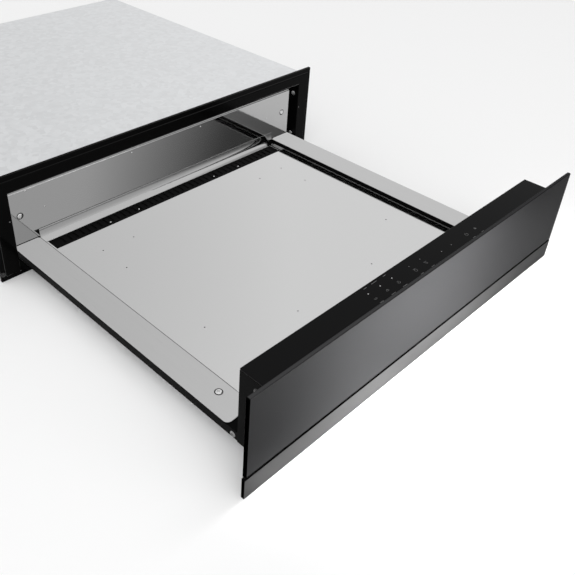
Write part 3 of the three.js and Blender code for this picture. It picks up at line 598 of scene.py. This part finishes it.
def loft(bm, levels):
    """Closed solid through outlines of (x, y) points, each given with its height, all in mm."""
    rings = [
        [bm.verts.new(Vector((x, y, height)) * MM) for x, y in outline] for outline, height in levels
    ]
    bm.faces.new(rings[0])
    bm.faces.new(rings[-1])
    for low, high in zip(rings, rings[1:]):
        for i in range(len(low)):
            j = (i + 1) % len(low)
            bm.faces.new((low[i], low[j], high[j], high[i]))


def prism(bm, outline, low, high):
    """Extrudes an outline between two heights."""
    loft(bm, [(outline, low), (outline, high)])


def bar(bm, x, y, width, depth, low, high):
    w, d = width / 2, depth / 2
    prism(bm, [(x - w, y - d), (x + w, y - d), (x + w, y + d), (x - w, y + d)], low, high)


def disc(bm, x, y, radius, low, high, steps=24):
    prism(bm, [(x + px, y + py) for px, py, _ in ring_of(radius, 0, steps)], low, high)


def band(bm, x, y, inner, outer, low, high, start=0, sweep=360, steps=32):
    """Flat ring, or the part of one that sweeps from a start angle in degrees, in two halves."""
    def arc(radius, order):
        turns = [math.radians(start + sweep * i / steps) for i in order]
        return [(x + radius * math.cos(t), y + radius * math.sin(t)) for t in turns]

    half = steps // 2
    for first, last in ((0, half), (half, steps)):
        order = range(first, last + 1)
        prism(bm, arc(outer, order) + arc(inner, reversed(order)), low, high)


def turned(place, direction):
    """Matrix that puts local +Z along a direction at a place in metres."""
    turn = Vector(direction).to_track_quat("Z", "Y").to_matrix().to_4x4()
    return Matrix.Translation(place) @ turn


# ---- Screws ----

SCREW_HEAD = 3.6
SCREW_DOME = 1.1
SCREW_SHANK = 1.6
SCREW_LENGTH = 4.0
SCREW_RIM = 0.3  # share of the dome's height at its rim
HEAD_CHAMFER = 0.15  # under the head
TIP_RADIUS = 0.6  # as a share of the shank
TIP_LENGTH = 0.8
RECESS_ARM = 2.0
RECESS_WIDTH = 0.75
RECESS_DEPTH = 0.75
# Black ring under the strip and wall screws, painted shade of the gap round each head.
SHADE_RING_RADII = (3.7, 4.9)
SHADE_RING_HEIGHTS = (0.02, 0.2)

# Where each kind's head faces on the right side. The left side mirrors it.
SCREW_FACES = {
    "strip_screw": (0, 0, 1),
    "wall_screw": (0, -1, 0),
    "box_screw": (1, 0, 0),
    "side_screw": (1, 0, 0),
    "frame_screw": (0, -1, 0),
    "jamb_upper_screw": (-1, 0, 0),
    "jamb_lower_screw": (-1, 0, 0),
}


def carve(solid, cutter):
    """The first bmesh less the second, as a mesh."""
    objects = []
    for bm in (solid, cutter):
        objects.append(bpy.data.objects.new("carving", mesh_from("carving", bm)))
        scene.collection.objects.link(objects[-1])
    body, tool = objects
    modifier = body.modifiers.new("carve", "BOOLEAN")
    modifier.object = tool
    modifier.operation = "DIFFERENCE"
    modifier.solver = "EXACT"
    depsgraph = bpy.context.evaluated_depsgraph_get()
    mesh = bpy.data.meshes.new_from_object(body.evaluated_get(depsgraph))
    for obj in objects:
        bpy.data.objects.remove(obj)
    return mesh


def screw_mesh(material):
    """A domed screw with a cross recess, its head's underside at z = 0."""
    dome = [
        (SCREW_HEAD * math.cos(t), SCREW_DOME * (SCREW_RIM + (1 - SCREW_RIM) * math.sin(t)))
        for t in [math.pi / 2 * i / 7 for i in range(7)]
    ]
    tip = [(0, -SCREW_LENGTH), (SCREW_SHANK * TIP_RADIUS, -SCREW_LENGTH)]
    shank = [(SCREW_SHANK, -SCREW_LENGTH + TIP_LENGTH), (SCREW_SHANK, 0)]
    solid = bmesh.new()
    profile = [*tip, *shank, (SCREW_HEAD - HEAD_CHAMFER, 0), *dome, (0, SCREW_DOME)]
    revolve(solid, profile, 40)
    cross = bmesh.new()
    bottom, top = SCREW_DOME - RECESS_DEPTH, SCREW_DOME + 1
    arm, width = RECESS_ARM, RECESS_WIDTH / 2
    outline = []
    for quarter in range(4):
        turn = Matrix.Rotation(quarter * math.pi / 2, 2)
        corners = ((arm, -width), (arm, width), (width, width))
        outline += [tuple(turn @ Vector(corner)) for corner in corners]
    prism(cross, outline, bottom, top)
    return finish_mesh(carve(solid, cross), material)


SCREW_FINISHES = {
    "strip_screw": "screw_steel",
    "wall_screw": "screw_steel",
    "box_screw": "black_screw",
    "side_screw": "dull_screw",
    "frame_screw": "black_screw",
    "jamb_upper_screw": "dull_screw",
    "jamb_lower_screw": "dull_screw",
}


def add_screws():
    finishes = ("screw_steel", "black_screw", "dull_screw")
    meshes = {name: screw_mesh(materials[name]) for name in finishes}
    for kind, face in SCREW_FACES.items():
        mesh = meshes[SCREW_FINISHES[kind]]
        for side, sign in (("left_", -1), ("right_", 1)):
            node = side + kind
            direction = Vector((sign * face[0], face[1], face[2]))
            low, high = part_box(node)
            middle, half = (low + high) / 2, (high - low) / 2
            reach = sum(abs(direction[i]) * half[i] for i in range(3))
            under_head = middle + direction * (reach - SCREW_DOME * MM)
            body = frame["nodes"][node]["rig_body"]
            place = turned(under_head, direction)
            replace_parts(add_object(node + "_detail", mesh, body, place), node)
            if kind in ("strip_screw", "wall_screw"):
                # Black ring under the head as painted shade.
                shade_ring = bmesh.new()
                band(shade_ring, 0, 0, *SHADE_RING_RADII, *SHADE_RING_HEIGHTS)
                add_piece(side + kind + "_washer", shade_ring, materials["rubber"], body, place)


# ---- Marks on the touch panel ----

DRAWER_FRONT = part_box("front_glass")[0].y / MM
PANEL_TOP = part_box("touch_panel")[1].z / MM
MARK_HEIGHT = 0.04
ROWS = {"heading": 41.0, "dot": 32.8, "light": 24.8, "icon": 23.5, "label": 15.4}  # back from the glass
WORD_DEPTH = 0.7  # of the bars that stand for words
# Arcs and rings are (inner radius, outer radius) or have a start and a sweep in degrees after
# these. Lines are (width, depth), words are (how far right of the key, width).
LEVEL_DOT = (0.3, 0.75)  # how far right of the key, radius
LEVEL_ARC = (2.1, 2.6, 200, 140)
LEVEL_ARC_RISE = 0.6  # of the arc's middle above the row
LEVEL_LINE = (2.6, 0.35)
LEVEL_PITCH = 0.8  # from line to line
LEVEL_WORD = (0.6, 5)  # the level's number is added to the width
MODE_DOT = 0.7
MODE_RINGS = ((1.6, 2.1), (0.9, 1.4))
MODE_LINE = (4.4, 0.4)
MODE_LINE_RISE = 2.6
MODE_WORD = (0.4, 5.5)
LIGHT_DOT = 0.85
POWER_ARC = (1.9, 2.4, 125, 290)
POWER_ARC_RISE = 1.2
POWER_LINE = (0.5, 2.4)
POWER_LINE_RISE = 3.1
POWER_WORD = (2, 5)
LOCK_ARC = (0.9, 1.3, 0, 180)
LOCK_ARC_RISE = 2
LOCK_BODY = (3.2, 2.0)
LOCK_BODY_RISE = 1.1
LOCK_WORD = (1.5, 4.5)
LEVEL_KEYS = (-90, -69.5, -49)
MODE_KEYS = (-17, 3.8)
LIGHTS = (35.3, 55.4)
POWER_KEY = 87.8
LOCK_KEY = 107
HEADINGS = ((-84.6, 5), (-69.4, 9), (-51.2, 5))  # x, width


def add_touch_marks():
    low, high = PANEL_TOP - MARK_HEIGHT, PANEL_TOP + MARK_HEIGHT
    marks, dots = bmesh.new(), bmesh.new()
    row = {name: DRAWER_FRONT + back for name, back in ROWS.items()}

    def arc(x, y, shape, steps):
        inner, outer, start, sweep = shape
        band(marks, x, y, inner, outer, low, high, start, sweep, steps)

    def word(x, name, width):
        bar(marks, x, row[name], width, WORD_DEPTH, low, high)

    for level, x in enumerate(LEVEL_KEYS, 1):
        aside, radius = LEVEL_DOT
        disc(dots, x + aside, row["dot"], radius, low, high)
        arc(x, row["icon"] + LEVEL_ARC_RISE, LEVEL_ARC, 12)
        for i in range(level):
            bar(marks, x, row["icon"] + LEVEL_PITCH * i, *LEVEL_LINE, low, high)
        word(x + LEVEL_WORD[0], "label", LEVEL_WORD[1] + level)
    for x, ring in zip(MODE_KEYS, MODE_RINGS):
        disc(marks, x, row["dot"], MODE_DOT, low, high)
        band(marks, x, row["icon"], *ring, low, high)
        bar(marks, x, row["icon"] + MODE_LINE_RISE, *MODE_LINE, low, high)
        word(x + MODE_WORD[0], "label", MODE_WORD[1])
    for x in LIGHTS:
        disc(marks, x, row["light"], LIGHT_DOT, low, high)
    arc(POWER_KEY, row["icon"] + POWER_ARC_RISE, POWER_ARC, 20)
    bar(marks, POWER_KEY, row["icon"] + POWER_LINE_RISE, *POWER_LINE, low, high)
    word(POWER_KEY + POWER_WORD[0], "label", POWER_WORD[1])
    arc(LOCK_KEY, row["icon"] + LOCK_ARC_RISE, LOCK_ARC, 10)
    bar(marks, LOCK_KEY, row["icon"] + LOCK_BODY_RISE, *LOCK_BODY, low, high)
    word(LOCK_KEY + LOCK_WORD[0], "label", LOCK_WORD[1])
    for x, width in HEADINGS:
        word(x, "heading", width)
    add_piece("touch_marks", marks, materials["mark_print"], "drawer")
    add_piece("touch_lights", dots, materials["mark_light"], "drawer")


# ---- Rivets and pips ----

WALL_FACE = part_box("rear_wall")[0].y / MM
FLOOR_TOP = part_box("floor_plate")[1].z / MM
WALL_RIVETS = ((-235, 109), (-211, 76), (65, 106), (235, 109), (211, 76), (-65, 106))  # x, z
FLOOR_PIPS = ((-174, 348), (-124, 399), (-174, 400), (174, 348), (124, 399), (174, 400))
FLOOR_PIPS += ((73, 138), (177, 192), (-73, 138), (-177, 192))  # x, distance back from the glass
PLATE_RIVETS = ((-125.5, 450.5), (-74, 452), (74, 452), (125.5, 450.5))  # x, distance back
JAMB_STUD = (271, 85)  # x either side, z
DOME_SIZES = {"wall_rivet": (1.1, 0.5), "floor_pip": (1.1, 0.2), "plate_rivet": (1.2, 0.5)}
DOME_SIZES["jamb_stud"] = (1.0, 0.4)  # radius, height


def dome(radius, height, sink=0.1):
    bm = bmesh.new()
    steps = [math.pi / 2 * i / 6 for i in range(6)]
    curve = [(radius * math.cos(t), height * math.sin(t)) for t in steps]
    revolve(bm, [(0, -sink), (radius, -sink), *curve, (0, height)], 20)
    return bm


def add_domes(name, places, direction, material, body):
    mesh = finish_mesh(mesh_from(name, dome(*DOME_SIZES[name])), material, DOME_SHARP_ANGLE)
    for i, place in enumerate(places, 1):
        at = turned(Vector(place) * MM, direction)
        add_object(f"{name}_{i}", mesh, body, at)


def add_rivets():
    on_wall = [(x, WALL_FACE, z) for x, z in WALL_RIVETS]
    steel = materials["screw_steel"]
    add_domes("wall_rivet", on_wall, (0, -1, 0), steel, "drawer")
    on_floor = [(x, DRAWER_FRONT + back, FLOOR_TOP) for x, back in FLOOR_PIPS]
    # The pips and the jamb studs are painted dark grey as their shade.
    dark = materials["pip"]
    add_domes("floor_pip", on_floor, (0, 0, 1), dark, "drawer")
    on_plate = [(x, DRAWER_FRONT + back, FLOOR_TOP) for x, back in PLATE_RIVETS]
    add_domes("plate_rivet", on_plate, (0, 0, 1), steel, "drawer")
    frame_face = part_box("front_frame")[0].y / MM
    on_jambs = [(sign * JAMB_STUD[0], frame_face, JAMB_STUD[1]) for sign in (-1, 1)]
    add_domes("jamb_stud", on_jambs, (0, -1, 0), dark, "housing")


# ---- Edges of the floor ----

BEAD_WIDTH = 0.9
BEAD_HEIGHTS = (0.3, 2.2)  # above the floor plate, along each groove
BEAD_INSET = 0.3  # from the strip's inner edge
BEAD_STOP = 6  # short of the rear wall
CORNER_SHADE_DOT = 1.5  # radius of the black disc, painted shade of a relief, where a strip meets the wall
SHADE_DOT_GAP = 0.2  # to the wall
SHADE_DOT_HEIGHTS = (-0.1, 0.05)  # from the strip's top
GROOVE_END = (217.4, 225.0)  # inner and outer x of the plate that closes a groove at the slot plate
GROOVE_END_HEIGHTS = (-1.2, -0.1)  # from the floor plate's top


def add_floor_edges():
    """Bright bead along each groove, the plate at its rear end and a black disc at the wall, painted
    shade of a corner relief.
    """
    slot_front, slot_back = [corner.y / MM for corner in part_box("air_slot_plate")]
    front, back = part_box("floor_plate")[0].y / MM, WALL_FACE - BEAD_STOP
    inner = -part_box("left_side_strip")[1].x / MM - BEAD_INSET
    strip_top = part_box("left_side_strip")[1].z / MM
    steel, black = materials["stainless"], materials["black_steel"]
    for side, sign in (("left_", -1), ("right_", 1)):
        bead = bmesh.new()
        near, far = sign * inner, sign * (inner - BEAD_WIDTH)
        outline = [(near, front), (far, front), (far, back), (near, back)]
        prism(bead, outline, *[FLOOR_TOP + height for height in BEAD_HEIGHTS])
        add_piece(side + "floor_bead", bead, steel, "drawer")
        end = bmesh.new()
        near, far = [sign * x for x in GROOVE_END]
        outline = [(near, slot_front), (far, slot_front), (far, slot_back), (near, slot_back)]
        prism(end, outline, *[FLOOR_TOP + height for height in GROOVE_END_HEIGHTS])
        add_piece(side + "groove_end", end, steel, "drawer")
        # Black disc on the strip by the wall: painted shade of a corner relief.
        shade_dot = bmesh.new()
        middle = sign * (inner + CORNER_SHADE_DOT), WALL_FACE - CORNER_SHADE_DOT - SHADE_DOT_GAP
        disc(shade_dot, *middle, CORNER_SHADE_DOT, *[strip_top + height for height in SHADE_DOT_HEIGHTS])
        add_piece(side + "corner_relief", shade_dot, black, "drawer")


# ---- Outside of the case ----

RIB_WIDTH, RIB_RISE = 10, 1.3
RIB_ROOT = -0.3  # height where it starts, inside the sheet
RIB_SHOULDER = (0.6, 0.8)  # shares of the rise: how far in, and how high
RIB_LENGTHS = {"side": 450, "rear": 330}
SIDE_RIBS = (38, 104)  # heights
REAR_RIBS = ((-40, 34), (-40, 54))  # x, height
REAR_SCREWS = tuple((x, z) for x in (-269, 269) for z in (14, 72, 130)) + ((-90, 136), (90, 136))
SIDE_SCREWS = tuple((y, z) for y in (-240, 246) for z in (14, 130))
LABEL_PLACE, LABEL_SIZE = (-225, 98), (58, 34)  # x and height, width and depth
LABEL_HEIGHTS = (-0.1, 0.15)  # from the case's rear


def rib(name, length, place, direction):
    """Stiffening rib pressed outwards, with round ends and sloping sides."""
    bm = bmesh.new()
    levels = []
    shoulder = tuple(RIB_RISE * share for share in RIB_SHOULDER)
    for inset, height in ((0, RIB_ROOT), (0, 0), shoulder, (RIB_RISE, RIB_RISE)):
        radius = RIB_WIDTH / 2 - inset
        centre = (length - RIB_WIDTH) / 2
        turns = [math.pi * (i / 8 - 0.5) for i in range(9)]
        end = [(centre + radius * math.cos(t), radius * math.sin(t)) for t in turns]
        levels.append((end + [(-x, -y) for x, y in end], height))
    loft(bm, levels)
    at = turned(Vector(place) * MM, direction)
    add_piece(name, bm, materials["zinc_steel"], "housing", at)


def add_case_details():
    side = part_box("right_case_side")[1].x / MM
    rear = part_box("case_rear")[1].y / MM
    screws = [((x, rear, z), (0, 1, 0)) for x, z in REAR_SCREWS]
    for name, sign in (("left", -1), ("right", 1)):
        screws += [((sign * side, y, z), (sign, 0, 0)) for y, z in SIDE_SCREWS]
        for i, z in enumerate(SIDE_RIBS, 1):
            rib(f"{name}_side_rib_{i}", RIB_LENGTHS["side"], (sign * side, 0, z), (sign, 0, 0))
    for i, (x, z) in enumerate(REAR_RIBS, 1):
        rib(f"rear_rib_{i}", RIB_LENGTHS["rear"], (x, rear, z), (0, 1, 0))
    mesh = screw_mesh(materials["screw_steel"])
    for i, (place, direction) in enumerate(screws, 1):
        at = turned(Vector(place) * MM, direction)
        add_object(f"case_screw_{i}", mesh, "housing", at)
    label = bmesh.new()
    bar(label, 0, 0, *LABEL_SIZE, *LABEL_HEIGHTS)
    at = turned(Vector((LABEL_PLACE[0], rear, LABEL_PLACE[1])) * MM, (0, 1, 0))
    add_piece("blank_label", label, materials["label"], "housing", at)


# ---- Assembly ----

MIRRORED = ("floor_plate", "slot_plate", "side_strip", "side_member", "floor_bead", "groove_end")
MIRRORED += ("bottom_tray", "air_duct", "rail", "case_base", "studio_floor")


def keep_out_of_reflections():
    """Reflections show the studio and the pieces named above, and no other piece or light."""
    for obj in scene.objects:
        if not any(kind in obj.name for kind in MIRRORED):
            obj.visible_glossy = False


add_camera()
add_floor_stage()
add_lights()
dress_nodes()
soften_nodes()
add_screws()
add_touch_marks()
add_rivets()
add_floor_edges()
add_case_details()
keep_out_of_reflections()
scene.view_settings.view_transform = "Standard"
